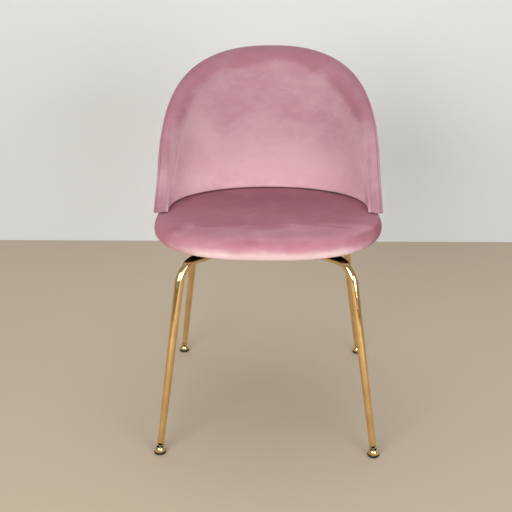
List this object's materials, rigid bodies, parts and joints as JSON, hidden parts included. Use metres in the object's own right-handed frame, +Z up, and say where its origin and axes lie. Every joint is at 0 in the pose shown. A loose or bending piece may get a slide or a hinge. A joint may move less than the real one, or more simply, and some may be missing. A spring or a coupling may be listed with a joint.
{
  "type": "dining side chair",
  "caption": "Velvet side chair with a round seat pad, a curved dome-shaped back that wraps round it, and splayed bent tube legs on tilting glides.",
  "frame": {"origin": "on the floor, below the middle of the chair's outer box", "axes": "+Z up, +Y from the front of the seat towards the back, +X to the right for someone who looks at the chair from the front"},
  "size_m": [0.4918, 0.5358, 0.788],
  "materials": {
    "pink_velvet": "matte",
    "foam": "matte",
    "plywood": "matte",
    "dust_cloth": "matte",
    "gold_plate": "polished",
    "zinc_plate": "satin",
    "black_steel": "satin",
    "black_nylon": "matte"
  },
  "bodies": {
    "chair": {"seat_pan": "plywood", "seat_foam": "foam", "seat_cover": "pink_velvet", "seat_dust_cover": "dust_cloth", "back_shell": "plywood", "back_foam_front": "foam", "back_foam_rear": "foam", "back_cover_front": "pink_velvet", "back_cover_rear": "pink_velvet", "back_welt": "pink_velvet", "back_bracket_left": "black_steel", "bracket_screw_left_1": "zinc_plate", "bracket_screw_left_2": "zinc_plate", "bracket_screw_left_3": "zinc_plate", "bracket_screw_left_4": "zinc_plate", "back_bracket_right": "black_steel", "bracket_screw_right_1": "zinc_plate", "bracket_screw_right_2": "zinc_plate", "bracket_screw_right_3": "zinc_plate", "bracket_screw_right_4": "zinc_plate", "leg_hub_plate": "gold_plate", "leg_front_left": "gold_plate", "leg_bolt_front_left": "zinc_plate", "leg_insert_front_left": "zinc_plate", "leg_front_right": "gold_plate", "leg_bolt_front_right": "zinc_plate", "leg_insert_front_right": "zinc_plate", "leg_rear_left": "gold_plate", "leg_bolt_rear_left": "zinc_plate", "leg_insert_rear_left": "zinc_plate", "leg_rear_right": "gold_plate", "leg_bolt_rear_right": "zinc_plate", "leg_insert_rear_right": "zinc_plate", "hub_bolt_1": "zinc_plate", "hub_insert_1": "zinc_plate", "hub_bolt_2": "zinc_plate", "hub_insert_2": "zinc_plate", "hub_bolt_3": "zinc_plate", "hub_insert_3": "zinc_plate", "hub_bolt_4": "zinc_plate", "hub_insert_4": "zinc_plate", "glide_stud_front_left": "zinc_plate", "glide_stud_front_right": "zinc_plate", "glide_stud_rear_left": "zinc_plate", "glide_stud_rear_right": "zinc_plate"},
    "glide_front_left": {"glide_bell_front_left": "gold_plate", "glide_base_front_left": "black_nylon"},
    "glide_front_right": {"glide_bell_front_right": "gold_plate", "glide_base_front_right": "black_nylon"},
    "glide_rear_left": {"glide_bell_rear_left": "gold_plate", "glide_base_rear_left": "black_nylon"},
    "glide_rear_right": {"glide_bell_rear_right": "gold_plate", "glide_base_rear_right": "black_nylon"}
  },
  "joints": [
    {"name": "glide_front_left_tilt", "type": "hinge", "parent": "chair", "child": "glide_front_left", "pos_m": [-0.223, -0.25554, 0.0095], "axis": [-0.7601, 0.6498, 0], "range_deg": [-3.2, 26.8]},
    {"name": "glide_front_right_tilt", "type": "hinge", "parent": "chair", "child": "glide_front_right", "pos_m": [0.223, -0.25554, 0.0095], "axis": [-0.7601, -0.6498, 0], "range_deg": [-3.2, 26.8]},
    {"name": "glide_rear_left_tilt", "type": "hinge", "parent": "chair", "child": "glide_rear_left", "pos_m": [-0.2305, 0.22346, 0.0095], "axis": [0.7701, 0.6379, 0], "range_deg": [-2.5, 27.5]},
    {"name": "glide_rear_right_tilt", "type": "hinge", "parent": "chair", "child": "glide_rear_right", "pos_m": [0.2305, 0.22346, 0.0095], "axis": [0.7701, -0.6379, 0], "range_deg": [-2.5, 27.5]}
  ]
}
